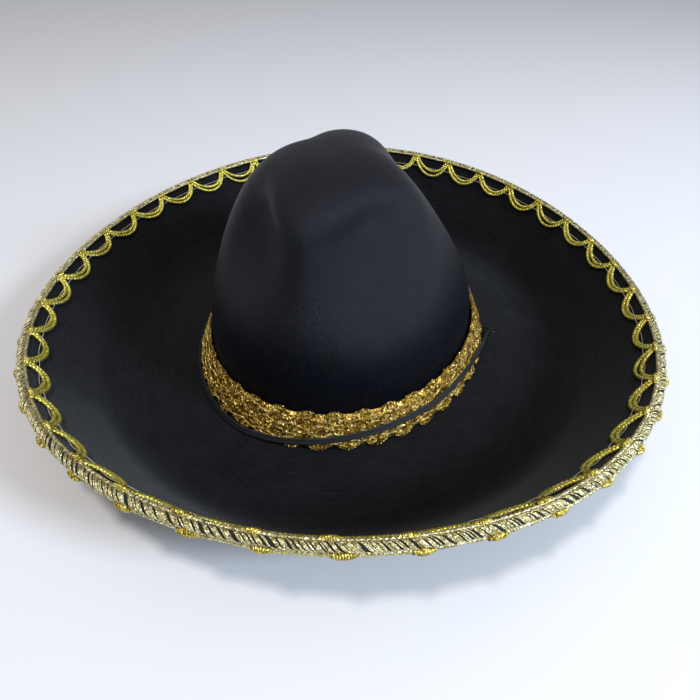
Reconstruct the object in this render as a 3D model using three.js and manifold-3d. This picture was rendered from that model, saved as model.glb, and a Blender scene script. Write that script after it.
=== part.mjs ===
// A felt sombrero lying on a table: a tall dented crown, a wide brim whose outer part curls up, gold trim
// round the rim, a gold band round the foot of the crown, and an elastic chin cord laid round the front.
//
// Millimetres, +Z up. The front of the hat is -Y and its right side is +X, so a turn of -90 degrees is the
// front. The origin is on the table, under the middle of the round brim.
//
// A felt hat is pressed over an oval block, and the model is made the same way. Every ring is first turned
// round, as a lathe profile of (reach, height), and then blocked: blocked() makes the head end oval, warps
// the rim and pushes the dents in.
import * as THREE from 'three';
import { mergeVertices } from 'three/addons/utils/BufferGeometryUtils.js';
import Module from 'manifold-3d';

const wasm = await Module();
wasm.setup();

// Driving dimensions
const RIM = 200; // reach of the brim's cut edge
const HEAD_SIDE = 93; // half the crown's width at its foot
const HEAD_FRONT = 111.5; // half the crown's length at its foot
const CROWN_HEIGHT = 134; // from the brim's upper face to the top of the crown
const CROWN_FELT = 2.4; // thickness of the crown
const BRIM_FELT = 0.9; // thickness of each felt of the brim
const STIFFENER = 0.4; // thickness of the sheet between them
const GAP = 0.3; // clearance between pieces that touch
const TRIM_GAP = 0.6; // clearance under the scallops and cords, whose rings have more sides than the brim

const FOOT = 8; // height of the brim's upper face at the crown
const REST_INNER = 134; // the flat ring that the hat lies on
const REST_OUTER = 145;
const CURL_RADIUS = 30; // bend between the flat of the brim and its curl
const CURL = THREE.MathUtils.degToRad(51); // slope of the curl at the rim
const RIM_WARP = 8.4; // the rim is this much higher in front and behind, and lower at the sides
const WARP_TURN = THREE.MathUtils.degToRad(11.5); // the warp is turned this far round the hat
const COLLAR_SHARES = [0.045, 0.02]; // heights of the brim's collar, as shares of the crown's height

const WIRE_RADIUS = 0.5;
const SCALLOPS = 40; // round the rim
const LADDER_EDGE = -0.8; // where the ladder ends on each face, from the cut edge
const BORDER = -1.7; // middle of the cord beside it
const SCALLOP_START = -2.6;
const SCALLOP_DEPTH = 12.8;
const STITCH_LINE = -8.5;
const KNOT = 2; // half the height of the knot between two scallops
const BAND_SCALLOPS = 39;
const BAND_BOTTOM = [97.3, 8.9]; // reach and height of the hat band's outer face, between its tips
const BAND_TOP = [88.2, 28.9];
const BAND_THICK = 1.2;

const CORD_RADIUS = 0.8;
const HOLE = { x: 103.3, y: 27.9, long: 7, wide: 2.2 }; // slit for the chin cord, one on each side
const BAR = { x: 102, y: 27.5, wide: 2.2, long: 12, thick: 1.3, bottom: 2 }; // end bar of the chin cord

const SEGMENTS = 60; // round the hat
const FIRST_TURN = THREE.MathUtils.degToRad(-1); // turn of the first knot on the lower face
const UPPER_SHIFT = THREE.MathUtils.degToRad(-1.4); // from there to the first knot on the upper face
const STACK = 2 * BRIM_FELT + STIFFENER + 2 * GAP; // whole thickness of the brim

// ---- materials ---------------------------------------------------------------------------------------

function material(color, roughness, metalness = 0) {
  return new THREE.MeshStandardMaterial({ color, roughness, metalness });
}

const crownFelt = material(0x15161c, 0.95);
const brimFelt = material(0x1c1c1f, 0.95);
const boardSheet = material(0x8a8478, 0.8);
const steelWire = material(0x8c8f94, 0.4, 1);
const paleGold = material(0xc9b67a, 0.45, 0.8);
const gimpGold = material(0xc2a42c, 0.4, 0.9);
const clearThread = material(0xdedcd2, 0.3);
const bandGold = material(0xa87a22, 0.35, 0.9);
const blackTape = material(0x111113, 0.85);
const blackThread = material(0x0c0c0e, 0.7);
const elastic = material(0x1e1e22, 0.75);
const crimpMetal = material(0xb4b6ba, 0.35, 1);

// ---- blocking ----------------------------------------------------------------------------------------

// Distance from the axis to the head oval, in the direction of a turn.
function headOval(turn, stretch = 1) {
  return 1 / Math.hypot(Math.cos(turn) / HEAD_SIDE, Math.sin(turn) / (HEAD_FRONT * stretch));
}

// A reach is measured at the hat's side. Towards the front and back it grows to the head oval inside, and
// the brim is a true circle at its rim.
function reachToRadius(reach, turn) {
  const oval = headOval(turn);
  if (reach < HEAD_SIDE) return (reach * oval) / HEAD_SIDE;
  const share = Math.max(0, (RIM - reach) / (RIM - HEAD_SIDE));
  return reach + (oval - HEAD_SIDE) * share;
}

// Distance up the slope of the curl: the same for all layers of the brim, so the warp keeps them apart.
function upSlope(reach, height) {
  return reach * Math.cos(CURL) + height * Math.sin(CURL);
}

// How far up the crown a height is, from 0 at its foot to 1 at its top.
function crownShare(height) {
  return Math.max(0, height - FOOT) / CROWN_HEIGHT;
}

function rimWarp(reach, height, turn) {
  const start = upSlope(REST_OUTER, STACK);
  const end = upSlope(...brimPath().pop());
  const share = Math.max(0, (upSlope(reach, height) - start) / (end - start));
  return reach < REST_OUTER - STACK ? 0 : -RIM_WARP * Math.cos(2 * (turn - WARP_TURN)) * share * share;
}

// Moves every vertex of a turned ring to its place on the hat. dent(turn, share) returns what the crown's
// dents do there, as { squeeze, left, forward }.
function blocked(geometry, dent = () => NO_DENT) {
  const position = geometry.attributes.position;
  for (let i = 0; i < position.count; i += 1) {
    const reach = Math.hypot(position.getX(i), position.getY(i));
    const turn = Math.atan2(position.getY(i), position.getX(i));
    const height = position.getZ(i);
    const { squeeze, left, forward } = dent(turn, crownShare(height));
    const radius = reachToRadius(reach, turn) * squeeze;
    const x = radius * Math.cos(turn) - left;
    const y = radius * Math.sin(turn) - forward;
    position.setXYZ(i, x, y, height + rimWarp(reach, height, turn));
  }
  return closed(geometry);
}

// The geometry with its seams merged and the triangles without area at a pole left out.
function closed(geometry) {
  geometry.deleteAttribute('normal');
  geometry.deleteAttribute('uv');
  const merged = mergeVertices(geometry, 1e-4);
  const index = merged.index.array;
  const kept = [];
  for (let i = 0; i < index.length; i += 3) {
    const [a, b, c] = index.slice(i, i + 3);
    if (a !== b && b !== c && c !== a) kept.push(a, b, c);
  }
  merged.setIndex(kept);
  merged.computeVertexNormals();
  return merged;
}

// A profile of [reach, height] points turned round the hat's axis. A ring's profile runs out along its
// lower side and back along its upper side.
function turned(profile, segments = SEGMENTS) {
  const points = profile.map(([reach, height]) => new THREE.Vector2(reach, height));
  const lathe = new THREE.LatheGeometry(points, segments, Math.PI / 2 + FIRST_TURN);
  return lathe.rotateX(Math.PI / 2);
}

function turnedRing(loop, segments) {
  return turned([...loop, loop[0]], segments);
}

// ---- profiles ----------------------------------------------------------------------------------------

// A path moved sideways, to the left of its direction.
function offsetPath(path, distance) {
  return path.map(([x, y], i) => {
    const before = path[Math.max(0, i - 1)];
    const after = path[Math.min(path.length - 1, i + 1)];
    const incoming = new THREE.Vector2(x - before[0], y - before[1]).normalize();
    const outgoing = new THREE.Vector2(after[0] - x, after[1] - y).normalize();
    const along = incoming.clone().add(outgoing).normalize();
    const edge = outgoing.lengthSq() > 0 ? outgoing : incoming;
    const reach = distance / Math.max(0.5, along.dot(edge));
    return [x - along.y * reach, y + along.x * reach];
  });
}

// The closed profile of a sheet between two offsets of a path.
function sheetLoop(path, lower, upper) {
  return [...offsetPath(path, lower), ...offsetPath(path, upper).reverse()];
}

// The crown's outer face: a rounded cone that flares at its foot, with a slight waist where the band is
// tight. share runs from 0 at the foot to 1 at the top.
function crownReach(share) {
  const cone = 0.977 * (1 - share ** 1.3) ** 0.377;
  const flare = 0.023 * Math.exp(-share / 0.03);
  const waist = 0.022 * Math.exp(-(((share - 0.14) / 0.06) ** 2));
  return HEAD_SIDE * (cone + flare - waist);
}

function crownWall(height) {
  return crownReach(crownShare(height));
}

const CROWN_SHARES = [0, 0.02, 0.045, 0.1, 0.16, 0.25, 0.35, 0.45, 0.54, 0.62, 0.7, 0.78, 0.85, 0.91, 0.96, 0.99];

function crownPath() {
  const wall = CROWN_SHARES.map((share) => [crownReach(share), FOOT + CROWN_HEIGHT * share]);
  return [[HEAD_SIDE, FOOT - STACK], ...wall];
}

// The brim's underside, from the head opening to the cut edge.
function brimPath() {
  const path = [[HEAD_SIDE + GAP, FOOT - STACK], [REST_INNER, 0], [REST_OUTER, 0]];
  for (const share of [0.33, 0.67, 1]) {
    const slope = CURL * share;
    const reach = REST_OUTER + CURL_RADIUS * Math.sin(slope);
    path.push([reach, CURL_RADIUS * (1 - Math.cos(slope))]);
  }
  const [reach, height] = path[path.length - 1];
  for (const share of [0.33, 0.67, 1]) {
    const rise = (RIM - reach) * share;
    path.push([reach + rise, height + rise * Math.tan(CURL)]);
  }
  return path;
}

// A point of the trim: along is measured from the cut edge, up the curl, and out is measured from the
// underside through the brim.
function trimPoint(along, out) {
  const [reach, height] = brimPath().pop();
  return [
    reach + along * Math.cos(CURL) - out * Math.sin(CURL),
    height + along * Math.sin(CURL) + out * Math.cos(CURL),
  ];
}

function ropeLoop(reach, height, radius, sides = 4) {
  return Array.from({ length: sides }, (_, i) => {
    const angle = (2 * Math.PI * i) / sides;
    return [reach + radius * Math.cos(angle), height + radius * Math.sin(angle)];
  });
}

// ---- the crown ---------------------------------------------------------------------------------------

// Four dents, two in front and two behind. Each has its middle (turn in degrees and share of the crown's
// height), its half width in degrees, how far it reaches below and above its middle, its depth as a share
// of the radius there, how square its edge is, and how many degrees it is turned per share of height.
const DENTS = [
  { turn: -51, share: 0.77, wide: 32, below: 0.26, above: 0.14, depth: 0.22, square: 1.4, twist: 28 },
  { turn: -120, share: 0.74, wide: 24, below: 0.2, above: 0.18, depth: 0.29, square: 1.3, twist: -22 },
  { turn: 47, share: 0.83, wide: 33, below: 0.34, above: 0.26, depth: 0.25, square: 1.04, twist: 0 },
  { turn: 137, share: 0.83, wide: 30, below: 0.34, above: 0.26, depth: 0.29, square: 1.04, twist: 0 },
];
const LEAN = { left: 5.7, forward: 12.3 }; // of the top
const TOP_STRETCH = 0.2; // the top is longer from front to back than the foot, by this share
const NO_DENT = { squeeze: 1, left: 0, forward: 0 };

function crownDents(turn, share) {
  let squeeze = headOval(turn, 1 + TOP_STRETCH * share * share) / headOval(turn);
  for (const dent of DENTS) {
    const rise = share - dent.share;
    const middle = dent.turn + dent.twist * rise;
    const away = THREE.MathUtils.euclideanModulo(THREE.MathUtils.radToDeg(turn) - middle + 180, 360) - 180;
    const reach = rise < 0 ? dent.below : dent.above;
    const edge = (away / dent.wide) ** 2 + (rise / reach) ** 2;
    squeeze *= 1 - dent.depth * Math.exp(-(edge ** dent.square));
  }
  return { squeeze, left: LEAN.left * share * share, forward: LEAN.forward * share * share };
}

function crownShell() {
  const outer = crownPath();
  const inner = offsetPath(outer, CROWN_FELT);
  const top = FOOT + CROWN_HEIGHT;
  const profile = [[0, top - CROWN_FELT], ...inner.reverse(), ...outer, [0, top]];
  return blocked(turned(profile), crownDents);
}

// ---- the brim ----------------------------------------------------------------------------------------

function brimSheet(lower, upper) {
  return withCordHoles(blocked(turnedRing(sheetLoop(brimPath(), lower, upper))));
}

// The upper felt turns up round the foot of the crown as a collar.
function brimTopFelt() {
  const level = STACK - BRIM_FELT;
  const collar = COLLAR_SHARES.map((share) => [
    crownReach(share) + 2 * GAP,
    FOOT + CROWN_HEIGHT * share,
  ]);
  const path = [...collar, ...offsetPath(brimPath(), level)];
  return withCordHoles(blocked(turnedRing(sheetLoop(path, 0, BRIM_FELT))));
}

// Cuts the slits for the chin cord, one on each side of the crown.
function withCordHoles(geometry) {
  let solid = toManifold(geometry);
  for (const side of [-1, 1]) {
    const slit = new THREE.BoxGeometry(HOLE.long, HOLE.wide, 4 * STACK);
    slit.rotateZ(side * Math.atan2(HOLE.y, HOLE.x));
    slit.translate(side * HOLE.x, HOLE.y, STACK);
    solid = solid.subtract(toManifold(closed(slit)));
  }
  return fromManifold(solid);
}

function toManifold(geometry) {
  const vertProperties = new Float32Array(geometry.attributes.position.array);
  const triVerts = new Uint32Array(geometry.index.array);
  return new wasm.Manifold(new wasm.Mesh({ numProp: 3, vertProperties, triVerts }));
}

function fromManifold(solid) {
  const mesh = solid.getMesh();
  const geometry = new THREE.BufferGeometry();
  geometry.setAttribute('position', new THREE.Float32BufferAttribute(mesh.vertProperties, mesh.numProp));
  geometry.setIndex(Array.from(mesh.triVerts));
  geometry.computeVertexNormals();
  return geometry;
}

// The wire that stiffens the rim lies along the cut edge, inside the trim.
function rimWire() {
  const [reach, height] = trimPoint(WIRE_RADIUS + GAP, STACK / 2);
  return blocked(turnedRing(ropeLoop(reach, height, WIRE_RADIUS)));
}

// ---- the rim's trim ----------------------------------------------------------------------------------

// Fraction of the way from one knot to the next, at a turn.
function betweenKnots(turn) {
  return THREE.MathUtils.euclideanModulo(((turn - FIRST_TURN) / (2 * Math.PI)) * SCALLOPS, 1);
}

// Turns a loop of [along, out] trim points. edit(point, atKnot) moves the points that are at a knot.
function trimRing(loop, face, edit) {
  const laneWidth = 50; // keeps the flat lane clear of the axis while it is turned
  const lane = loop.map(([along, out]) => [laneWidth + along, out]);
  const geometry = turnedRing(lane, 2 * SEGMENTS);
  const position = geometry.attributes.position;
  for (let i = 0; i < position.count; i += 1) {
    const turn = Math.atan2(position.getY(i), position.getX(i));
    const atKnot = Math.abs(2 * betweenKnots(turn) - 1) > 0.99;
    const along = Math.hypot(position.getX(i), position.getY(i)) - laneWidth;
    const [reach, height] = trimPoint(...edit([along, position.getZ(i)], atKnot));
    const placed = face > 0 ? turn + UPPER_SHIFT : turn;
    position.setXYZ(i, reach * Math.cos(placed), reach * Math.sin(placed), height);
  }
  return blocked(geometry);
}

// The centre of the braid, folded round the cut edge.
function ladderTape() {
  const under = -GAP;
  const over = STACK + GAP;
  const thick = 0.5;
  const fold = 2 * WIRE_RADIUS + 2 * GAP;
  const loop = [
    [LADDER_EDGE, under - thick], [fold, under - thick], [fold + thick, under],
    [fold + thick, over], [fold, over + thick], [LADDER_EDGE, over + thick],
    [LADDER_EDGE, over], [fold, over], [fold, under], [LADDER_EDGE, under],
  ];
  return blocked(turnedRing(loop.map(([along, out]) => trimPoint(along, out))));
}

// A thin cord beside the ladder, thickened to a knot where two scallops meet.
function borderCord(face) {
  const radius = 0.6;
  const middle = [BORDER, face > 0 ? STACK + TRIM_GAP + radius : -TRIM_GAP - radius];
  const loop = ropeLoop(middle[0], middle[1], radius);
  const widened = 1.3;
  const raised = KNOT / radius;
  return trimRing(loop, face, ([along, out], atKnot) => {
    if (!atKnot) return [along, out];
    return [
      middle[0] + (along - middle[0]) * widened,
      middle[1] + (out - middle[1]) * raised + face * (KNOT - radius),
    ];
  });
}

// A row of scallops lying on one face of the brim.
function scallopBraid(face) {
  const thick = 1;
  const valley = 3;
  const low = face > 0 ? STACK + TRIM_GAP : -TRIM_GAP - thick;
  const near = SCALLOP_START;
  const far = near - SCALLOP_DEPTH;
  const loop = [[far, low], [near, low], [near, low + thick], [far, low + thick]];
  return trimRing(loop, face, ([along, out], atKnot) => [atKnot ? Math.max(along, near - valley) : along, out]);
}

// The machine thread that runs over the middle of the scallops.
function trimStitch(face) {
  const radius = 0.2;
  const level = TRIM_GAP + 1.5 + radius;
  const [reach, height] = trimPoint(STITCH_LINE, face > 0 ? STACK + level : -level);
  return blocked(turnedRing(ropeLoop(reach, height, radius)));
}

// ---- round the head ----------------------------------------------------------------------------------

// The band leans with the foot of the crown. Its two edges wave between tips and hollows.
function hatBand() {
  const tip = 1.2;
  const [bottomReach, bottom] = BAND_BOTTOM;
  const [topReach, top] = BAND_TOP;
  const lean = (topReach - bottomReach) / (top - bottom);
  const loop = [
    [bottomReach - BAND_THICK, bottom], [bottomReach, bottom],
    [topReach, top], [topReach - BAND_THICK, top],
  ];
  const geometry = turnedRing(loop, 3 * BAND_SCALLOPS);
  const position = geometry.attributes.position;
  const middle = (bottom + top) / 2;
  for (let i = 0; i < position.count; i += 1) {
    const turn = Math.atan2(position.getY(i), position.getX(i));
    const reach = Math.hypot(position.getX(i), position.getY(i));
    const side = Math.sign(position.getZ(i) - middle);
    const wave = side > 0 ? 0.5 : 0; // the tips of the upper edge are half way between the lower ones
    const phase = (BAND_SCALLOPS * (turn - FIRST_TURN)) / (2 * Math.PI) + wave;
    const rise = -side * tip * 0.5 * (1 - Math.cos(2 * Math.PI * phase));
    const scale = (reach + rise * lean) / reach;
    position.setXYZ(i, position.getX(i) * scale, position.getY(i) * scale, position.getZ(i) + rise);
  }
  return blocked(geometry);
}

const SWEATBAND_BACK = CROWN_FELT + 1.6; // from the crown's outer face to the sweatband
const SWEATBAND_THICK = 1;

function sweatband() {
  const heights = [4.5, FOOT, 16, 25, 34];
  const path = heights.map((height) => [crownWall(height), height]);
  const loop = sheetLoop(path, SWEATBAND_BACK, SWEATBAND_BACK + SWEATBAND_THICK);
  return blocked(turnedRing(loop), crownDents);
}

function threadRing(depth, height, radius) {
  return blocked(turnedRing(ropeLoop(crownWall(height) - depth, height, radius)));
}

// ---- the chin cord -----------------------------------------------------------------------------------

// From the slit on the left, round the foot of the crown in front, up over the band, and down again to
// the slit on the right.
const CORD_ROUTE = [
  [-102, 27.5, 3.8], [-102, 27.5, 6], [-102, 27.2, 9], [-101.4, 23, 9.9], [-100.2, 14, 9.4],
  [-98.9, 0, 9.2], [-97.5, -17.2, 9.2], [-94.2, -34.4, 9.2], [-88.6, -51.2, 9.2], [-80.4, -67.4, 9.2],
  [-69.5, -82.8, 9.2], [-57.4, -95.3, 9.2], [-46, -104.2, 9.2], [-34, -110.6, 9.4], [-21, -114.3, 10.1],
  [-5, -115.4, 11.6], [9, -114, 13.2], [19, -111.8, 14.4], [28.5, -108.5, 15.5], [38, -103.8, 16.6],
  [48.8, -96.8, 17.4], [59.3, -87.6, 17.9], [68.1, -77.6, 18], [76.5, -66, 17.7], [83, -54, 17.6],
  [87.4, -43.2, 17.6], [92.9, -24.5, 16], [96.7, -5, 12.9], [99.6, 12, 10.4], [101.4, 23, 9.9],
  [102, 27.2, 9], [102, 27.5, 6], [102, 27.5, 3.8],
];

function chinCord() {
  const path = new THREE.CatmullRomCurve3(CORD_ROUTE.map((point) => new THREE.Vector3(...point)));
  const section = new THREE.Shape(ropeLoop(0, 0, CORD_RADIUS, 8).map(([x, y]) => new THREE.Vector2(x, y)));
  return new THREE.ExtrudeGeometry(section, { extrudePath: path, steps: 72 });
}

function cordBar() {
  return new THREE.BoxGeometry(BAR.wide, BAR.long, BAR.thick);
}

// ---- assembly ----------------------------------------------------------------------------------------

const sombrero = new THREE.Group();

function add(name, geometry, surface) {
  const mesh = new THREE.Mesh(geometry, surface);
  mesh.name = name;
  sombrero.add(mesh);
  return mesh;
}

add('crown_shell', crownShell(), crownFelt);
add('brim_top_felt', brimTopFelt(), brimFelt);
add('brim_stiffener', brimSheet(BRIM_FELT + GAP, BRIM_FELT + GAP + STIFFENER), boardSheet);
add('brim_bottom_felt', brimSheet(0, BRIM_FELT), brimFelt);
add('rim_wire', rimWire(), steelWire);
add('edge_ladder_tape', ladderTape(), paleGold);
add('upper_border_cord', borderCord(1), paleGold);
add('lower_border_cord', borderCord(-1), paleGold);
add('upper_scallop_braid', scallopBraid(1), gimpGold);
add('lower_scallop_braid', scallopBraid(-1), gimpGold);
add('trim_stitch_upper', trimStitch(1), clearThread);
add('trim_stitch_lower', trimStitch(-1), clearThread);
add('hat_band', hatBand(), bandGold);
add('sweatband', sweatband(), blackTape);
add('sweatband_stitch', threadRing(SWEATBAND_BACK + SWEATBAND_THICK + 0.6, 6.5, 0.25), blackThread);
add('crown_seam_thread', threadRing(CROWN_FELT + 0.8, 11, 0.3), blackThread);
add('chin_cord', chinCord(), elastic);
for (const [name, side] of [['cord_bar_left', -1], ['cord_bar_right', 1]]) {
  const bar = add(name, cordBar(), crimpMetal);
  bar.position.set(side * BAR.x, BAR.y, BAR.bottom + BAR.thick / 2);
  bar.rotation.z = side * Math.atan2(BAR.y, BAR.x);
}

export default sombrero;
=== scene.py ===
"""A felt sombrero on a pale table, with gold gimp round the rim, a gold hat band and an elastic chin cord.

Lengths are millimetres in the code and metres in Blender. The hat's front is -Y and its right side is +X.
A "turn" is an angle round the hat in radians, counter-clockwise from +X. As in the CAD, every surface is
described round, by reach and height, and then blocked to the head oval, the warped rim and the dents.
"""

import bpy
import numpy as np
from mathutils import Matrix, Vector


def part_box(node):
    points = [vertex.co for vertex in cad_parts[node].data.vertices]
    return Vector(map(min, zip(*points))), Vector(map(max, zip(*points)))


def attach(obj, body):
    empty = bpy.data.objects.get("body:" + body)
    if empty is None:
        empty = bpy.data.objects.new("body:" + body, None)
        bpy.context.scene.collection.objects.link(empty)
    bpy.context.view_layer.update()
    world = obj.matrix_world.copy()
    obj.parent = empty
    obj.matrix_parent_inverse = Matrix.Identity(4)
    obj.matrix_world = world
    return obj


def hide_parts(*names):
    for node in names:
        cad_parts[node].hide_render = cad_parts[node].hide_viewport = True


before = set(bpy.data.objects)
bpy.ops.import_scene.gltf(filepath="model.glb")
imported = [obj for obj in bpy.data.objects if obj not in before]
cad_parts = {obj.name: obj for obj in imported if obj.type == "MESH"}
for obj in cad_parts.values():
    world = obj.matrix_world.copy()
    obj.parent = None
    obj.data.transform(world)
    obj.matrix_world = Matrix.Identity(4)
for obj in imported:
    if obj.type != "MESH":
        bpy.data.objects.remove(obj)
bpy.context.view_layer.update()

MM = 0.001
TAU = 2 * np.pi


def node_top(node):
    """The height of a CAD node's top, in millimetres."""
    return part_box(node)[1][2] / MM


# ---- driving sizes, the same as the CAD's ------------------------------------------------------------

HEAD_SIDE = 93.0  # half the crown's width and length at its foot
HEAD_FRONT = 111.5
FOOT = 8.0  # height of the brim's upper face at the crown
CROWN_HEIGHT = node_top("crown_shell") - FOOT
CROWN_FELT = 2.4
BRIM_FELT = 0.9
STIFFENER = 0.4
GAP = 0.3
STACK = 2 * BRIM_FELT + STIFFENER + 2 * GAP  # whole thickness of the brim

RIM = 200.0  # reach of the brim's cut edge
REST_INNER = 134.0  # the flat ring that the hat lies on
REST_OUTER = 145.0
CURL_RADIUS = 30.0  # bend between the flat of the brim and its curl
CURL = np.radians(51)  # slope of the curl at the rim
RIM_WARP = 8.4  # the rim is this much higher in front and behind, and lower at the sides
WARP_TURN = np.radians(11.5)  # the warp is turned this far round the hat
BRIM_ROWS = 90  # points of the brim's profile
CURL_ROWS = 12

SCALLOPS = 40
FIRST_TURN = np.radians(-1)  # turn of a knot on the lower face
FACE_SHIFT = np.radians(-1.4)  # from there to a knot on the upper face
BAND_BOTTOM = (97.3, 8.9)  # reach and height of the hat band's outer face, at its tips
BAND_TOP = (88.2, 28.9)
HOLE = (103.3, 27.9)  # middle of the chin cord's slit, which is long away from the crown

random = np.random.default_rng(7)


# ---- blocking ----------------------------------------------------------------------------------------

def head_oval(turn, stretch=1.0):
    return 1 / np.hypot(np.cos(turn) / HEAD_SIDE, np.sin(turn) / (HEAD_FRONT * stretch))


def reach_to_radius(reach, turn):
    oval = head_oval(turn)
    share = np.clip((RIM - reach) / (RIM - HEAD_SIDE), 0, None)
    outside = reach + (oval - HEAD_SIDE) * share
    return np.where(reach < HEAD_SIDE, reach * oval / HEAD_SIDE, outside)


def up_slope(reach, height):
    return reach * np.cos(CURL) + height * np.sin(CURL)


def rim_warp(reach, height, turn):
    start = up_slope(REST_OUTER, STACK)
    end = up_slope(*CUT_EDGE)
    share = np.clip((up_slope(reach, height) - start) / (end - start), 0, None)
    share = np.where(reach < REST_OUTER - STACK, 0, share)
    return -RIM_WARP * np.cos(2 * (turn - WARP_TURN)) * share**2


def blocked(reach, turn, height):
    """Points of the hat for reach, turn and height, which are arrays of one shape."""
    reach, turn, height = np.broadcast_arrays(reach, turn, height)
    radius = reach_to_radius(reach, turn)
    z = height + rim_warp(reach, height, turn)
    return np.stack([radius * np.cos(turn), radius * np.sin(turn), z], -1)


def crown_reach(share):
    cone = 0.977 * np.clip(1 - share**1.3, 0, None) ** 0.377
    flare = 0.023 * np.exp(-share / 0.03)
    waist = 0.022 * np.exp(-(((share - 0.14) / 0.06) ** 2))
    return HEAD_SIDE * (cone + flare - waist)


# Four dents. Each has its middle (turn in degrees and share of the crown's height), its half width in
# degrees, how far it reaches below and above its middle, its depth as a share of the radius there, how
# square its edge is, and how many degrees it is turned per share of height.
DENTS = (
    dict(turn=-51, share=0.77, wide=32, below=0.26, above=0.14, depth=0.22, square=1.4, twist=28),
    dict(turn=-120, share=0.74, wide=24, below=0.2, above=0.18, depth=0.29, square=1.3, twist=-22),
    dict(turn=47, share=0.83, wide=33, below=0.34, above=0.26, depth=0.25, square=1.04, twist=0),
    dict(turn=137, share=0.83, wide=30, below=0.34, above=0.26, depth=0.29, square=1.04, twist=0),
)
LEAN = (-5.7, -12.3)
TOP_STRETCH = 0.2  # the top is longer from front to back than the foot, by this share


def crown_dents(turn, share):
    """What the dents do to a radius of the crown, and the lean of its top."""
    squeeze = head_oval(turn, 1 + TOP_STRETCH * share**2) / head_oval(turn)
    for dent in DENTS:
        rise = share - dent["share"]
        away = (np.degrees(turn) - dent["turn"] - dent["twist"] * rise + 180) % 360 - 180
        reach = np.where(rise < 0, dent["below"], dent["above"])
        edge = (away / dent["wide"]) ** 2 + (rise / reach) ** 2
        squeeze = squeeze * (1 - dent["depth"] * np.exp(-(edge ** dent["square"])))
    return squeeze, LEAN[0] * share**2, LEAN[1] * share**2


def crown_points(reach, turn, height):
    share = np.clip((height - FOOT) / CROWN_HEIGHT, 0, 1)
    squeeze, x, y = crown_dents(turn, share)
    points = blocked(reach, turn, height)
    points[..., :2] *= squeeze[..., None]
    return points + np.stack([x, y, np.zeros_like(x)], -1)


def offset_path(path, distance):
    """A [reach, height] path moved to the left of its direction, with as many points."""
    along = np.gradient(path, axis=0)
    along /= np.linalg.norm(along, axis=1, keepdims=True)
    return path + distance * np.stack([-along[:, 1], along[:, 0]], 1)


def brim_path():
    """The brim's underside from the head opening to the cut edge, evenly stepped."""
    inner = [(HEAD_SIDE + GAP, FOOT - STACK), (REST_INNER, 0), (REST_OUTER, 0)]
    slopes = CURL * np.linspace(0.1, 1, CURL_ROWS)
    arc_x = REST_OUTER + CURL_RADIUS * np.sin(slopes)
    arc_z = CURL_RADIUS * (1 - np.cos(slopes))
    rise = (RIM - arc_x[-1]) * np.tan(CURL)
    knots = np.array(inner + list(zip(arc_x, arc_z)) + [(RIM, arc_z[-1] + rise)])
    length = path_length(knots)
    steps = np.linspace(0, length[-1], BRIM_ROWS)
    path = np.stack([np.interp(steps, length, knots[:, i]) for i in (0, 1)], 1)
    path[:, 1] = np.where(path[:, 0] > REST_INNER, path[:, 1], smoothed(path[:, 1]))
    return path


def smoothed(values, rounds=6):
    for _ in range(rounds):
        middle = (values[:-2] + 2 * values[1:-1] + values[2:]) / 4
        values = np.concatenate([values[:1], middle, values[-1:]])
    return values


def cut_edge():
    arc_x = REST_OUTER + CURL_RADIUS * np.sin(CURL)
    arc_z = CURL_RADIUS * (1 - np.cos(CURL))
    return RIM, arc_z + (RIM - arc_x) * np.tan(CURL)


CUT_EDGE = cut_edge()


def trim_points(turn, along, out):
    """Points of the trim: along runs up the curl from the cut edge, out runs from the underside."""
    reach = CUT_EDGE[0] + along * np.cos(CURL) - out * np.sin(CURL)
    height = CUT_EDGE[1] + along * np.sin(CURL) + out * np.cos(CURL)
    return blocked(reach, turn, height)


# ---- mesh helpers ------------------------------------------------------------------------------------

def make_object(name, parts, material):
    """One object from a list of (vertices in mm, quads) parts."""
    vertices, quads, start = [], [], 0
    for points, faces in parts:
        vertices.append(points.reshape(-1, 3))
        quads.append(faces + start)
        start += len(vertices[-1])
    vertices = np.concatenate(vertices) * MM
    quads = np.concatenate(quads)
    mesh = bpy.data.meshes.new(name)
    mesh.vertices.add(len(vertices))
    mesh.vertices.foreach_set("co", vertices.astype(np.float32).ravel())
    mesh.loops.add(quads.size)
    mesh.loops.foreach_set("vertex_index", quads.astype(np.int32).ravel())
    mesh.polygons.add(len(quads))
    mesh.polygons.foreach_set("loop_start", np.arange(0, quads.size, 4, dtype=np.int32))
    mesh.polygons.foreach_set("use_smooth", np.ones(len(quads), dtype=bool))
    mesh.update(calc_edges=True)
    mesh.validate()
    mesh.materials.append(material)
    piece = bpy.data.objects.new(name, mesh)
    bpy.context.scene.collection.objects.link(piece)
    return piece


def grid_quads(rows, columns, wrap_rows, wrap_columns):
    """The quads of a grid of points, joined round at the ends where it wraps."""
    row = np.arange(rows if wrap_rows else rows - 1)[:, None]
    column = np.arange(columns if wrap_columns else columns - 1)[None]
    below = (row + 1) % rows
    beside = (column + 1) % columns
    corners = np.broadcast_arrays(
        row * columns + column, row * columns + beside,
        below * columns + beside, below * columns + column)
    return np.stack([corner.ravel() for corner in corners], 1)


def ring_part(loop_points):
    """A closed ring from points [around the loop, round the hat, xyz]."""
    loop, turns = loop_points.shape[:2]
    return loop_points, grid_quads(loop, turns, True, True)


ALMOST_UP = (0.13, 0.07, 1.0)  # no path runs exactly along it


def frames_along(path, closed):
    """Two unit vectors across a path at each of its points."""
    if closed:
        along = np.roll(path, -1, 0) - np.roll(path, 1, 0)
    else:
        along = np.gradient(path, axis=0)
    along = along / np.linalg.norm(along, axis=-1, keepdims=True)
    side = np.cross(along, ALMOST_UP)
    side = side / np.linalg.norm(side, axis=-1, keepdims=True)
    return side, np.cross(side, along)


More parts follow.
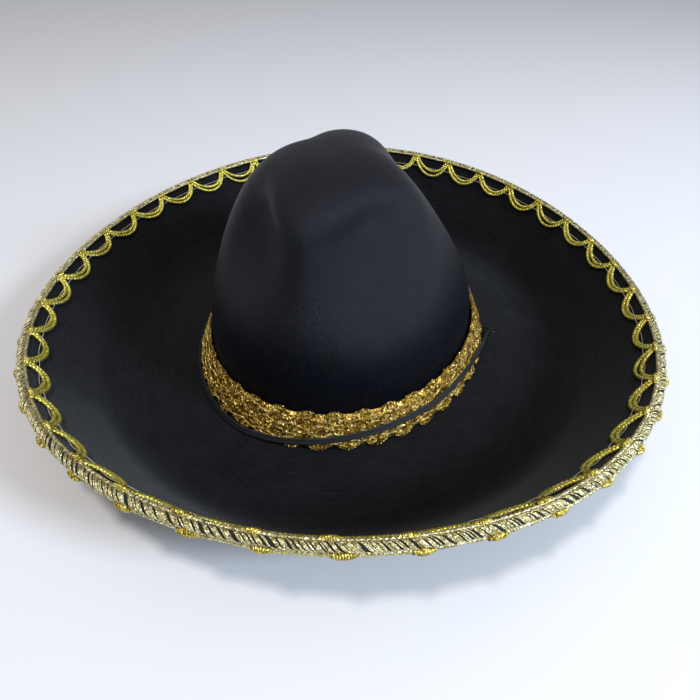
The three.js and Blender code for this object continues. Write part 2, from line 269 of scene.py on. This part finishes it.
def tube(path, radius, sides=6, closed=False, twist=None, lobes=0.0):
    """A tube along a path of points. lobes and twist give it the look of a twisted two-ply cord."""
    side, up = frames_along(path, closed)
    count = len(path)
    angles = np.linspace(0, TAU, sides, endpoint=False)
    spin = np.zeros(count) if twist is None else twist
    angle = angles[None] + spin[:, None]
    size = radius * (1 + lobes * np.cos(2 * angles)[None])
    x = size * np.cos(angle)
    y = size * np.sin(angle)
    points = path[:, None] + x[..., None] * side[:, None] + y[..., None] * up[:, None]
    return points, grid_quads(count, sides, closed, True)


def path_length(path):
    """The distance along a path at each of its points."""
    return np.concatenate([[0], np.cumsum(np.linalg.norm(np.diff(path, axis=0), axis=1))])


def resampled(path, step):
    """The path with its points evenly spaced, about a step apart."""
    length = path_length(path)
    count = max(2, int(round(length[-1] / step)) + 1)
    steps = np.linspace(0, length[-1], count)
    return np.stack([np.interp(steps, length, path[:, i]) for i in range(3)], 1)


def twisted_cord(path, radius, pitch=2.2, step=0.5, closed=False):
    """A two-ply twisted cord along a path."""
    path = resampled(path, step)
    if closed:
        path = path[:-1]
    turns = path_length(path) / pitch
    if closed:
        turns *= round(turns[-1]) / turns[-1]
    return tube(path, radius, sides=8, closed=closed, twist=TAU * turns / 2, lobes=0.16)


def rides(piece, node):
    """Fixes a piece to the hat in place of a CAD node, which it hides."""
    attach(piece, "root")
    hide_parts(node)


# ---- materials ---------------------------------------------------------------------------------------

class Shader:
    """A material's node tree, with short names for what the materials below use."""

    def __init__(self, name):
        self.material = bpy.data.materials.new(name)
        self.material.use_nodes = True
        self.tree = self.material.node_tree
        self.surface = self.tree.nodes["Principled BSDF"]

    def node(self, kind, inputs=None, **settings):
        made = self.tree.nodes.new("ShaderNode" + kind)
        for key, value in settings.items():
            setattr(made, key, value)
        for key, value in (inputs or {}).items():
            self.put(made, key, value)
        return made

    def put(self, node, key, value):
        if isinstance(value, bpy.types.NodeSocket):
            self.tree.links.new(value, node.inputs[key])
        else:
            node.inputs[key].default_value = value

    def set(self, **values):
        for key, value in values.items():
            self.put(self.surface, key.replace("_", " "), value)

    def place(self):
        return self.node("TexCoord").outputs["Object"]

    def scaled(self, vector, scale):
        return self.node("Mapping", {"Vector": vector, "Scale": scale}).outputs["Vector"]

    def noise(self, vector, scale, detail=3.0, roughness=0.6):
        inputs = {"Vector": vector, "Scale": scale, "Detail": detail, "Roughness": roughness}
        return self.node("TexNoise", inputs).outputs["Fac"]

    def cells(self, vector, scale):
        return self.node("TexVoronoi", {"Vector": vector, "Scale": scale})

    def math(self, operation, a, b=0.0):
        return self.node("Math", {0: a, 1: b}, operation=operation).outputs[0]

    def ramp(self, value, stops):
        made = self.node("ValToRGB", {"Fac": value})
        elements = made.color_ramp.elements
        while len(elements) < len(stops):
            elements.new(0.5)
        for element, (place, colour) in zip(elements, stops):
            element.position = place
            element.color = (*colour, 1)
        return made.outputs["Color"]

    def bump(self, height, strength, distance, normal=None):
        inputs = {"Height": height, "Strength": strength, "Distance": distance}
        if normal is not None:
            inputs["Normal"] = normal
        return self.node("Bump", inputs).outputs["Normal"]


def polar(shader):
    """Texture coordinates that run round the hat, out from its axis, and up."""
    parts = shader.node("SeparateXYZ", {"Vector": shader.place()}).outputs
    turn = shader.math("ARCTAN2", parts["Y"], parts["X"])
    x_square = shader.math("MULTIPLY", parts["X"], parts["X"])
    y_square = shader.math("MULTIPLY", parts["Y"], parts["Y"])
    radius = shader.math("SQRT", shader.math("ADD", x_square, y_square))
    return shader.node("CombineXYZ", {"X": turn, "Y": radius, "Z": parts["Z"]}).outputs["Vector"]


def felt(name, dark, light, sheen, sheen_tint, gloss, brushed):
    """Black wool felt: matt, faintly mottled, with short fibres, and brushed round the hat if asked."""
    shader = Shader(name)
    place = shader.place()
    fibres = shader.noise(shader.scaled(place, (1.0, 1.0, 0.35)), scale=2600, detail=4, roughness=0.75)
    mottle = shader.noise(place, scale=55, detail=4, roughness=0.6)
    if brushed:
        stretched = shader.scaled(polar(shader), (14, 900, 900))
        streaks = shader.noise(stretched, scale=1.0, detail=3, roughness=0.6)
    else:
        stretched = shader.scaled(place, (700, 700, 160))
        streaks = shader.noise(stretched, scale=1.0, detail=3, roughness=0.65)
    mottle_share = shader.math("MULTIPLY", mottle, 0.35)
    streak_share = shader.math("MULTIPLY", streaks, 0.65)
    colour = shader.ramp(shader.math("ADD", mottle_share, streak_share), [(0.36, dark), (0.66, light)])
    coarse = shader.bump(streaks, strength=0.45, distance=0.0006)
    fine = shader.bump(fibres, strength=0.9, distance=0.0004, normal=coarse)
    shader.set(Base_Color=colour, Roughness=0.4, Specular_IOR_Level=gloss, Normal=fine)
    shader.set(Sheen_Weight=sheen, Sheen_Roughness=0.45, Sheen_Tint=(*sheen_tint, 1))
    return shader.material


def metal_thread(name, deep, mid, bright, sparkle, roughness, scale):
    """Foil thread: each small facet has its own tone, from deep to bright."""
    shader = Shader(name)
    place = shader.place()
    facets = shader.cells(place, scale)
    tone = shader.node("SeparateColor", {"Color": facets.outputs["Color"]}).outputs["Red"]
    colour = shader.ramp(tone, [(0.05, deep), (0.5, mid), (0.95, bright)])
    bumps = shader.bump(facets.outputs["Distance"], strength=0.7 * sparkle, distance=0.0004)
    shader.set(Base_Color=colour, Metallic=0.85, Roughness=roughness, Normal=bumps)
    return shader.material


def plain(name, colour, roughness, metallic=0.0, grain=400, relief=0.1):
    """One colour with a faint grain."""
    shader = Shader(name)
    noise = shader.noise(shader.place(), scale=grain, detail=3, roughness=0.6)
    darker = tuple(0.7 * c for c in colour)
    shader.set(Base_Color=shader.ramp(noise, [(0.35, darker), (0.65, colour)]), Metallic=metallic)
    shader.set(Roughness=roughness, Normal=shader.bump(noise, strength=relief, distance=0.0003))
    return shader.material


def woven(name, colour, roughness, pitch):
    """Fine tape or braid: small raised cells at the given pitch in metres, with a painted highlight on
    their raised middles.
    """
    shader = Shader(name)
    inputs = {"Vector": shader.place(), "Scale": 1 / pitch, "Randomness": 0.35}
    cells = shader.node("TexVoronoi", inputs)
    # The raised middles of the cells are painted 1.8 times lighter than the rest: a painted highlight.
    painted_highlight = tuple(1.8 * c for c in colour)
    tone = shader.ramp(cells.outputs["Distance"], [(0.1, painted_highlight), (0.7, colour)])
    shader.set(Base_Color=tone, Roughness=roughness)
    shader.set(Normal=shader.bump(cells.outputs["Distance"], strength=0.8, distance=-0.0002))
    return shader.material


CROWN_FELT_LOOK = felt(
    "crown_felt", dark=(0.0013, 0.0016, 0.0034), light=(0.0042, 0.0052, 0.0105),
    sheen=0.01, sheen_tint=(0.75, 0.85, 1), gloss=0.2, brushed=False)
BRIM_FELT_LOOK = felt(
    "brim_felt", dark=(0.0025, 0.0027, 0.0032), light=(0.009, 0.0095, 0.011),
    sheen=0.1, sheen_tint=(0.93, 0.96, 1), gloss=0.05, brushed=True)
GIMP_GOLD = metal_thread(
    "gimp_gold", (0.30, 0.25, 0.02), (0.64, 0.55, 0.07), (0.92, 0.85, 0.24),
    sparkle=0.5, roughness=0.34, scale=1900)
KNOT_GOLD = metal_thread(
    "knot_gold", (0.16, 0.11, 0.01), (0.50, 0.38, 0.045), (0.95, 0.84, 0.27),
    sparkle=0.7, roughness=0.34, scale=1700)
PALE_GOLD = metal_thread(
    "pale_gold", (0.22, 0.18, 0.06), (0.60, 0.51, 0.22), (0.97, 0.92, 0.62),
    sparkle=0.8, roughness=0.36, scale=1500)
BAND_GOLD = metal_thread(
    "band_gold", (0.10, 0.045, 0.003), (0.46, 0.26, 0.025), (0.98, 0.74, 0.22),
    sparkle=1.2, roughness=0.28, scale=900)
CHAIN_GOLD = metal_thread(
    "band_chain_gold", (0.14, 0.08, 0.006), (0.62, 0.42, 0.07), (1.0, 0.86, 0.42),
    sparkle=1.2, roughness=0.3, scale=900)
CLEAR_THREAD = plain("clear_thread", (0.6, 0.6, 0.55), 0.4)
BLACK_CORE = woven("black_core", (0.008, 0.008, 0.008), 0.8, 0.0007)
BLACK_TAPE = woven("black_tape", (0.007, 0.007, 0.008), 0.8, 0.0008)
BLACK_THREAD = plain("black_thread", (0.01, 0.01, 0.011), 0.7)
ELASTIC = woven("elastic", (0.006, 0.006, 0.007), 0.7, 0.0006)
BOARD = plain("stiffener_board", (0.24, 0.22, 0.18), 0.85, grain=90, relief=0.3)
WIRE = plain("steel_wire", (0.5, 0.51, 0.53), 0.35, metallic=1.0)
CRIMP = plain("crimp_metal", (0.6, 0.61, 0.63), 0.3, metallic=1.0)


# ---- the chin cord -----------------------------------------------------------------------------------

CORD_WIDTH = 4.0
CORD_THICK = 1.0
CORD_TWIST = 26.0  # length over which the elastic turns edgeways to enter its slit
CORD_LEAN = 0.45  # it leans back with the band by this slope
CORD_STEP = 0.8
CORD_SIDES = 28
GROOVE_DEPTH = 0.5  # of the groove along each face, as a share of half its thickness
GROOVE_WIDTH = 0.3  # as a share of its half width
EDGE_FULLNESS = 0.8  # below 1, its narrow edges are blunter than an ellipse's

# From the slit on the left, round the foot of the crown in front, up over the band, and down again to
# the slit on the right. The same route as the CAD's.
CORD_ROUTE = [
    (-102, 27.5, 3.8), (-102, 27.5, 6), (-102, 27.2, 9), (-101.4, 23, 9.9), (-100.2, 14, 9.4),
    (-98.9, 0, 9.2), (-97.5, -17.2, 9.2), (-94.2, -34.4, 9.2), (-88.6, -51.2, 9.2), (-80.4, -67.4, 9.2),
    (-69.5, -82.8, 9.2), (-57.4, -95.3, 9.2), (-46, -104.2, 9.2), (-34, -110.6, 9.4), (-21, -114.3, 10.1),
    (-5, -115.4, 11.6), (9, -114, 13.2), (19, -111.8, 14.4), (28.5, -108.5, 15.5), (38, -103.8, 16.6),
    (48.8, -96.8, 17.4), (59.3, -87.6, 17.9), (68.1, -77.6, 18), (76.5, -66, 17.7), (83, -54, 17.6),
    (87.4, -43.2, 17.6), (92.9, -24.5, 16), (96.7, -5, 12.9), (99.6, 12, 10.4), (101.4, 23, 9.9),
    (102, 27.2, 9), (102, 27.5, 6), (102, 27.5, 3.8),
]


def smooth_curve(points, per_span=12):
    """A Catmull-Rom curve through the points."""
    p = np.array(points, float)
    p = np.concatenate([[2 * p[0] - p[1]], p, [2 * p[-1] - p[-2]]])
    t = np.linspace(0, 1, per_span, endpoint=False)[:, None]
    spans = []
    for a, b, c, d in zip(p, p[1:], p[2:], p[3:]):
        spans.append(0.5 * (2 * b + (c - a) * t + (2 * a - 5 * b + 4 * c - d) * t**2
                            + (3 * b - 3 * c + d - a) * t**3))
    return np.concatenate(spans + [p[-2:-1]])


def chin_cord():
    """Flat braided elastic: it stands on edge against the crown, with two ribs along each face."""
    path = resampled(smooth_curve(CORD_ROUTE), CORD_STEP)
    along = np.gradient(path, axis=0)
    along /= np.linalg.norm(along, axis=1, keepdims=True)
    outward = path * [1, 1, 0]
    outward /= np.linalg.norm(outward, axis=1, keepdims=True)
    outward = outward + [0, 0, CORD_LEAN]
    thin = outward - along * np.sum(outward * along, 1, keepdims=True)
    thin /= np.linalg.norm(thin, axis=1, keepdims=True)
    wide = np.cross(along, thin)
    distance = path_length(path)
    from_end = np.clip(np.minimum(distance, distance[-1] - distance) / CORD_TWIST, 0, 1)
    twist = np.pi / 2 * (1 - from_end * from_end * (3 - 2 * from_end))[:, None]
    thin, wide = np.cos(twist) * thin + np.sin(twist) * wide, np.cos(twist) * wide - np.sin(twist) * thin
    angles = np.linspace(0, TAU, CORD_SIDES, endpoint=False)
    ribs = 1 - GROOVE_DEPTH * np.exp(-((np.cos(angles) / GROOVE_WIDTH) ** 2))
    x = 0.5 * CORD_WIDTH * np.sign(np.cos(angles)) * np.abs(np.cos(angles)) ** EDGE_FULLNESS
    y = 0.5 * CORD_THICK * np.sin(angles) * ribs
    points = path[:, None] + x[None, :, None] * wide[:, None] + y[None, :, None] * thin[:, None]
    quads = grid_quads(len(path), CORD_SIDES, False, True)
    piece = make_object("chin_cord_elastic", [(points, quads)], ELASTIC)
    rides(piece, "chin_cord")


# ---- felt --------------------------------------------------------------------------------------------

ROUND = 288  # columns of the felts round the hat
CROWN_ROWS = 190
POLE = 0.9993  # the crown's rows stop a hair short of its pole
TOP_CROWDING = 2.65  # crowds the rows towards the top, where they are then evenly spaced
COLLAR_SHARES = (0.045, 0.012)  # top and bottom of the brim's collar, as shares of the crown's height
COLLAR_ROWS = 8
SLIT = (7.0, 2.2, 40.0)  # the tool that cuts a slit: long, wide and high


def turns_round(count=ROUND):
    return np.linspace(0, TAU, count, endpoint=False) + FIRST_TURN


def crown():
    share = 1 - (1 - np.linspace(0, POLE, CROWN_ROWS)) ** TOP_CROWDING
    outer = np.stack([crown_reach(share), FOOT + CROWN_HEIGHT * share], 1)
    foot = np.array([[HEAD_SIDE, FOOT - STACK], [HEAD_SIDE, FOOT - STACK / 2]])
    outer = np.concatenate([foot, outer])
    inner = offset_path(outer, CROWN_FELT)
    inner[:, 0] = np.clip(inner[:, 0], 0.2, None)
    turn = turns_round()[None]
    loops = []
    for path in (outer, inner[::-1]):
        loops.append(crown_points(path[:, :1], turn, path[:, 1:]))
    loops = np.concatenate(loops)
    piece = make_object("crown_felt_shell", [ring_part(loops)], CROWN_FELT_LOOK)
    rides(piece, "crown_shell")


def felt_ring(name, path, thick, look):
    """A felt of the brim, between a path and its offset."""
    upper = offset_path(path, thick)
    loop = np.concatenate([path, upper[::-1]])
    points = blocked(loop[:, :1], turns_round()[None], loop[:, 1:])
    return make_object(name, [ring_part(points)], look)


def cut_slits(piece):
    """Cuts the slits of the chin cord out of a brim felt."""
    for side in (-1, 1):
        turn = np.arctan2(HOLE[1], side * HOLE[0])
        bpy.ops.mesh.primitive_cube_add(size=1)
        cutter = bpy.context.active_object
        cutter.scale = [size * MM for size in SLIT]
        cutter.rotation_euler = (0, 0, turn)
        cutter.location = (side * HOLE[0] * MM, HOLE[1] * MM, FOOT * MM)
        bpy.context.view_layer.update()
        modifier = piece.modifiers.new("slit", "BOOLEAN")
        modifier.object = cutter
        modifier.solver = "EXACT"
        bpy.context.view_layer.objects.active = piece
        bpy.ops.object.modifier_apply(modifier=modifier.name)
        bpy.data.objects.remove(cutter)


def brim():
    path = brim_path()
    lower = felt_ring("brim_lower_felt", path, BRIM_FELT, BRIM_FELT_LOOK)
    rides(lower, "brim_bottom_felt")
    top_path = offset_path(path, STACK - BRIM_FELT)
    shares = np.linspace(*COLLAR_SHARES, COLLAR_ROWS)
    collar = np.stack([crown_reach(shares) + 2 * GAP, FOOT + CROWN_HEIGHT * shares], 1)
    upper = felt_ring("brim_upper_felt", np.concatenate([collar, top_path]), BRIM_FELT, BRIM_FELT_LOOK)
    rides(upper, "brim_top_felt")
    for piece in (lower, upper):
        cut_slits(piece)


# ---- the rim's trim ----------------------------------------------------------------------------------

TRIM_GAP = 0.6
LADDER_GAP = 0.3
FOLD = 1.9  # how far the ladder stands out beyond the cut edge
FOLD_DEPTH = 1.5  # of its rounded part
FOLD_LENGTH = 0.85  # of the way round the fold, as a share of a half circle
LADDER_EDGE = -0.8  # where the ladder ends on each face
LADDER_LIFT = 0.25  # its middle lies this much above its gap
LADDER_COLUMNS = 240
CORE_THICK = 0.25
THREAD_SLANT = np.radians(2.6)  # how far a ladder thread turns round the hat over the fold
THREAD_RADIUS = 0.27
THREAD_PITCH = 0.52

BORDER = -0.9  # the thin border cord
BORDER_SWAY = 0.4  # towards the fold at each knot
BORDER_RADIUS = 0.95
BORDER_LIFT = 0.75

KNOT_LINE = -0.6
KNOT_SHIFT = 0.7  # the upper knots lie this much further in, and the lower ones further out
KNOT_WINDINGS = 9
KNOT_LENGTH = 9.0
KNOT_WIDTH = 1.3
KNOT_LIFT = 1.4
KNOT_CORD = 0.58

SCALLOP_START = -1.8
SCALLOP_DEPTH = 12.6
SCALLOP_SKEW = 0.05  # leans a scallop's middle towards its first knot, as a share of its pitch
INNER_DEPTH = SCALLOP_DEPTH - 3.0  # the second cord of the pair
INNER_SKEW = 0.085
INNER_INSET = 0.07
CORD_RADIUS = 1.2  # of a scallop's cord

STITCH_LINE = -8.5
STITCH_HIGH = 3.2  # over the cords
STITCH_DIP = 1.6
STITCH_RADIUS = 0.14


def knot_turns(face):
    shift = FACE_SHIFT if face > 0 else 0.0
    return FIRST_TURN + shift + TAU * np.arange(SCALLOPS) / SCALLOPS


def off_face(face, height):
    """The out coordinate of something lying at this height above a face of the brim."""
    return STACK + height if face > 0 else -height


def ladder_section(share):
    """Along and out of the folded ladder, for a share from the upper face (0) to the lower face (1)."""
    low = -LADDER_GAP - LADDER_LIFT
    high = STACK + LADDER_GAP + LADDER_LIFT
    middle = (low + high) / 2
    half = (high - low) / 2
    bend = FOLD - FOLD_DEPTH
    run = bend - LADDER_EDGE
    arc = np.pi * half * FOLD_LENGTH
    distance = share * (2 * run + arc)
    angle = np.pi / 2 - np.pi * np.clip((distance - run) / arc, 0, 1)
    along = bend + FOLD_DEPTH * np.cos(angle)
    along = np.where(distance < run, LADDER_EDGE + distance, along)
    along = np.where(distance > run + arc, bend - (distance - run - arc), along)
    return along, middle + half * np.sin(angle)


def ladder_core():
    """The black tape that the ladder's threads are wound over."""
    share = np.linspace(0.02, 0.98, 24)
    along, out = ladder_section(share)
    path = np.stack([along, out], 1)
    inner = offset_path(path, -CORE_THICK)
    loop = np.concatenate([path, inner[::-1]])[::-1]
    points = trim_points(turns_round(LADDER_COLUMNS)[None], loop[:, :1], loop[:, 1:])
    piece = make_object("ladder_core", [ring_part(points)], BLACK_CORE)
    rides(piece, "edge_ladder_tape")


def ladder_threads():
    """Gold threads wound slantwise over the core, in uneven groups that let it show."""
    share = np.linspace(0, 1, 17)
    along, out = ladder_section(share)
    middle = STACK / 2
    parts = []
    distance = 0.0
    while distance < TAU * RIM - 0.6:
        slant = THREAD_SLANT + np.radians(0.3) * random.normal()
        for _ in range(random.integers(1, 5)):
            turn = distance / RIM + FACE_SHIFT + slant * share + 0.0006 * random.normal()
            lift = 0.2 + 0.15 * random.random()
            outside = np.clip((out - middle) / middle, -1, 1) * lift
            path = trim_points(turn, along + lift * np.sin(np.pi * share) ** 3, out + outside)
            parts.append(tube(path, THREAD_RADIUS + 0.06 * random.random(), sides=5))
            distance += THREAD_PITCH + 0.1 * random.random()
        distance += 0.35 + 1.3 * random.random() ** 1.5
    piece = make_object("ladder_threads", parts, PALE_GOLD)
    rides(piece, "edge_ladder_tape")


def ring_path(turns, along, out):
    """A path round the trim that ends where it starts."""
    path = trim_points(turns, along, out)
    return np.concatenate([path, path[:1]])


def border_cord(face, name, node):
    """The cord between the ladder and the scallops, drawn towards the fold at each knot."""
    turns = np.linspace(0, TAU, SCALLOPS * 24, endpoint=False)
    phase = (turns - knot_turns(face)[0]) / TAU * SCALLOPS
    wave = np.sin(np.pi * (phase % 1)) ** 0.8
    along = BORDER + BORDER_SWAY - BORDER_SWAY * wave
    path = ring_path(turns, along, off_face(face, TRIM_GAP + BORDER_LIFT))
    cord = twisted_cord(path, BORDER_RADIUS, pitch=2.4, step=0.45, closed=True)
    piece = make_object(name, [cord], PALE_GOLD)
    rides(piece, node)


def scallop_path(face, start, depth, inset, skew):
    """One cord of a scallop, from its knot round to the next one. inset keeps it clear of both."""
    pitch = TAU / SCALLOPS
    angle = np.linspace(0, np.pi, 40)
    across = 0.55 * angle / np.pi + 0.45 * (0.5 - 0.5 * np.cos(angle)) - skew * np.sin(angle)
    across = inset + (1 - 2 * inset) * across
    along = SCALLOP_START - depth * np.sin(angle) ** 0.9
    return trim_points(start + pitch * across, along, off_face(face, TRIM_GAP + CORD_RADIUS))


def scallop_cords(face, name, node):
    """Each scallop is a pair of cords, one inside the other."""
    parts = []
    for start in knot_turns(face):
        wobble = 0.5 * random.normal(size=2)
        outer = scallop_path(face, start, SCALLOP_DEPTH + wobble[0], 0.0, SCALLOP_SKEW)
        inner = scallop_path(face, start, INNER_DEPTH + wobble[1], INNER_INSET, INNER_SKEW)
        parts.append(twisted_cord(outer, CORD_RADIUS))
        parts.append(twisted_cord(inner, CORD_RADIUS))
    piece = make_object(name, parts, GIMP_GOLD)
    rides(piece, node)


def knots(face, name, node):
    """A spindle of wound cord where two scallops meet, lying along the rim."""
    parts = []
    share = np.linspace(0, 1, KNOT_WINDINGS * 12)
    swell = np.sin(np.pi * np.clip(share, 0.05, 0.95)) ** 0.55
    for start in knot_turns(face):
        length = KNOT_LENGTH + 0.7 * random.normal()
        width = KNOT_WIDTH + 0.1 * random.normal()
        spin = TAU * (KNOT_WINDINGS * share + random.random())
        turn = start + (share - 0.5) * length / RIM
        along = KNOT_LINE - KNOT_SHIFT * face + width * swell * np.cos(spin)
        height = TRIM_GAP + KNOT_LIFT + width * swell * np.sin(spin)
        parts.append(tube(trim_points(turn, along, off_face(face, height)), KNOT_CORD, sides=7))
    piece = make_object(name, parts, KNOT_GOLD)
    rides(piece, node)


def stitch_line(face, name, node):
    """Clear thread over the scallops: it dips towards the felt in the openings."""
    turns = np.linspace(0, TAU, SCALLOPS * 20, endpoint=False)
    phase = ((turns - knot_turns(face)[0]) / TAU * SCALLOPS) % 1
    dip = np.sin(np.pi * phase) ** 2
    height = STITCH_HIGH - STITCH_DIP * dip
    path = trim_points(turns, STITCH_LINE + 0.4 * np.sin(3 * turns), off_face(face, height))
    piece = make_object(name, [tube(path, STITCH_RADIUS, closed=True)], CLEAR_THREAD)
    rides(piece, node)


def rim_trim():
    ladder_core()
    ladder_threads()
    for face, side in ((1, "upper"), (-1, "lower")):
        border_cord(face, side + "_border", side + "_border_cord")
        scallop_cords(face, side + "_scallops", side + "_scallop_braid")
        knots(face, side + "_knots", side + "_border_cord")
        stitch_line(face, side + "_stitches", "trim_stitch_" + side)


# ---- the hat band ------------------------------------------------------------------------------------

BAND_SCALLOPS = 39
BAND_WIDTH = float(np.hypot(BAND_BOTTOM[0] - BAND_TOP[0], BAND_TOP[1] - BAND_BOTTOM[1]))
BACKING_ROWS = np.array([1.2, 6, 11, 16, BAND_WIDTH - 1.2])  # heights up the band
CHAIN_ROWS = ((4.6, 0.0), (9.2, np.pi), (13.6, 0.0), (18.0, np.pi))  # height, and phase of its drift
CHAIN_RADIUS = 0.27
CHAIN_STITCHES = 6  # in each scallop of the band
LOOP_ROWS = ((6.8, 0.0), (11.3, 0.5), (15.8, 0.0))  # height, and shift in scallops
LOOP_RADIUS = 0.31
FAN_BASE = 3.4  # from an edge of the band to the middle of its fans
FAN_SPREAD = 1.35  # half the angle of a fan


def oval_table():
    """Turns round the hat, and the length round the band's foot at each."""
    turn = np.linspace(-np.pi, np.pi, 2881)
    points = blocked(np.full_like(turn, BAND_BOTTOM[0]), turn, np.zeros_like(turn))[:, :2]
    return turn, path_length(points)


OVAL_TURN, OVAL_LENGTH = oval_table()
BAND_LENGTH = OVAL_LENGTH[-1]
BAND_START = np.interp(np.radians(-71.5), OVAL_TURN, OVAL_LENGTH)  # the first bottom fan


def band_points(length, up, out):
    """Points of the hat band: length round its foot, up its face, and out of it."""
    turn = np.interp(np.mod(length, BAND_LENGTH), OVAL_LENGTH, OVAL_TURN)
    lean_reach = (BAND_TOP[0] - BAND_BOTTOM[0]) / BAND_WIDTH
    lean_up = (BAND_TOP[1] - BAND_BOTTOM[1]) / BAND_WIDTH
    reach = BAND_BOTTOM[0] + lean_reach * up + lean_up * out
    height = BAND_BOTTOM[1] + lean_up * up - lean_reach * out
    return blocked(reach, turn, height)


def band_cord(length, up, out, radius, sides=6):
    """A closed cord on the band."""
    return tube(band_points(length, up, out), radius, sides=sides, closed=True)


def band_backing():
    """The foil sheet behind the stitches."""
    length = np.linspace(0, BAND_LENGTH, BAND_SCALLOPS * 12, endpoint=False)
    outer = band_points(length[None], BACKING_ROWS[:, None], -0.4)
    inner = band_points(length[None], BACKING_ROWS[::-1, None], -1.0)
    return ring_part(np.concatenate([outer, inner]))


def band_chains():
    """Zigzag chain stitches that run round the band."""
    count = BAND_SCALLOPS * 48
    length = np.linspace(0, BAND_LENGTH, count, endpoint=False)
    phase = TAU * (length - BAND_START) / BAND_LENGTH * BAND_SCALLOPS
    parts = []
    for up, shift in CHAIN_ROWS:
        for strand in (0, np.pi):
            wave = 0.55 * np.cos(CHAIN_STITCHES * phase + strand)
            out = 0.35 + 0.2 * np.sin(CHAIN_STITCHES * phase + strand)
            drift = 0.9 * np.cos(phase + shift)
            parts.append(band_cord(length, up + wave + drift, out, CHAIN_RADIUS))
    return parts


def stitch_loop(length, up, out, size, lean):
    """One loop of foil thread, lying against the band and tilted at random."""
    tilt = 0.25 * random.normal(size=2)
    angle = np.linspace(0, TAU, 12, endpoint=False)
    x = size[0] * np.cos(angle)
    y = size[1] * np.sin(angle)
    across = x * np.cos(lean) - y * np.sin(lean)
    rise = x * np.sin(lean) + y * np.cos(lean)
    return band_cord(length + across, up + rise, out + tilt[0] * x + tilt[1] * y, LOOP_RADIUS, sides=5)


def band_loops():
    """Shell stitches: fans at both edges, and rows of loops between the chains."""
    parts = []
    pitch = BAND_LENGTH / BAND_SCALLOPS
    for scallop in range(BAND_SCALLOPS):
        middle = BAND_START + pitch * scallop
        for side, base, shift in ((-1, FAN_BASE, 0.0), (1, BAND_WIDTH - FAN_BASE, 0.5)):
            for radius in (2.0, 3.7):
                for angle in np.linspace(-FAN_SPREAD, FAN_SPREAD, 6 + int(radius)):
                    reach = radius + 0.15 * random.normal()
                    across = 1.5 * reach * np.sin(angle)
                    up = base + side * reach * np.cos(angle) * 0.85
                    out = 0.15 + 0.3 * random.random()
                    length = middle + shift * pitch + across
                    parts.append(stitch_loop(length, up, out, (0.6, 1.1), -side * angle))
        for row, shift in LOOP_ROWS:
            for step in np.linspace(-0.45, 0.45, 11):
                density = 0.45 - abs(step) if shift else abs(step)
                if random.random() < 0.3 - 0.5 * density:
                    continue
                up = row + 0.4 * random.normal()
                out = 0.1 + 0.35 * random.random()
                lean = 0.6 * random.normal()
                parts.append(stitch_loop(middle + (step + shift) * pitch, up, out, (0.6, 1.4), lean))
    return parts


def hat_band():
    backing = make_object("hat_band_backing", [band_backing()], BAND_GOLD)
    rides(backing, "hat_band")
    chains = make_object("hat_band_chains", band_chains(), CHAIN_GOLD)
    rides(chains, "hat_band")
    loops = make_object("hat_band_stitches", band_loops(), BAND_GOLD)
    rides(loops, "hat_band")


# ---- CAD pieces that keep their shape ----------------------------------------------------------------

def finish_cad_nodes():
    looks = {
        "brim_stiffener": BOARD,
        "rim_wire": WIRE,
        "sweatband": BLACK_TAPE,
        "sweatband_stitch": BLACK_THREAD,
        "crown_seam_thread": BLACK_THREAD,
        "cord_bar_left": CRIMP,
        "cord_bar_right": CRIMP,
    }
    for node, look in looks.items():
        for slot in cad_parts[node].material_slots:
            slot.material = look


# ---- stage -------------------------------------------------------------------------------------------

def floor():
    shader = Shader("floor")
    shader.set(Base_Color=(0.80, 0.80, 0.815, 1), Roughness=0.7)
    bpy.ops.mesh.primitive_plane_add(size=8)
    piece = bpy.context.active_object
    piece.name = "floor"
    piece.data.materials.append(shader.material)


def area_light(name, place, target, size, power, colour):
    data = bpy.data.lights.new(name, "AREA")
    data.shape = "DISK"
    data.size = size
    data.energy = power
    data.color = colour
    light = bpy.data.objects.new(name, data)
    bpy.context.scene.collection.objects.link(light)
    light.matrix_world = looking(place, target)


def looking(place, target, roll=0.0):
    """A camera or light matrix at place that looks at target, with level sides."""
    ahead = np.subtract(target, place)
    ahead = ahead / np.linalg.norm(ahead)
    right = np.cross(ahead, [0, 0, 1])
    right = right / np.linalg.norm(right)
    up = np.cross(right, ahead)
    turned_right = np.cos(roll) * right + np.sin(roll) * up
    turned_up = np.cos(roll) * up - np.sin(roll) * right
    matrix = np.eye(4)
    matrix[:3, 0] = turned_right
    matrix[:3, 1] = turned_up
    matrix[:3, 2] = -ahead
    matrix[:3, 3] = place
    return Matrix(matrix)


def camera():
    """A phone's camera, in front of the hat, to its right, and above it."""
    heading = np.radians(16.2)
    pitch = np.radians(41.75)
    place = np.array([0.0879, -0.2874, 0.2513])
    level = np.array([-np.sin(heading), np.cos(heading), 0])
    ahead = np.cos(pitch) * level - [0, 0, np.sin(pitch)]
    data = bpy.data.cameras.new("camera")
    data.sensor_width = 36
    data.lens = 27.27
    data.clip_start = 0.01
    shot = bpy.data.objects.new("camera", data)
    bpy.context.scene.collection.objects.link(shot)
    shot.matrix_world = looking(place, place + ahead, np.radians(0.97))
    bpy.context.scene.camera = shot


def lights():
    world = bpy.data.worlds.new("studio")
    bpy.context.scene.world = world
    world.use_nodes = True
    background = world.node_tree.nodes["Background"]
    background.inputs["Color"].default_value = (0.94, 0.95, 1.0, 1)
    background.inputs["Strength"].default_value = 0.41
    area_light("ceiling", place=(-0.09, -0.5, 1.65), target=(0, 0, 0),
               size=0.22, power=11.5, colour=(1.0, 0.94, 0.88))
    area_light("window", place=(1.45, -0.35, 0.95), target=(0, 0, 0.06),
               size=0.42, power=29, colour=(0.7, 0.83, 1.0))
    bpy.context.scene.view_settings.view_transform = "Standard"


camera()
chin_cord()
crown()
brim()
rim_trim()
hat_band()
finish_cad_nodes()
floor()
lights()
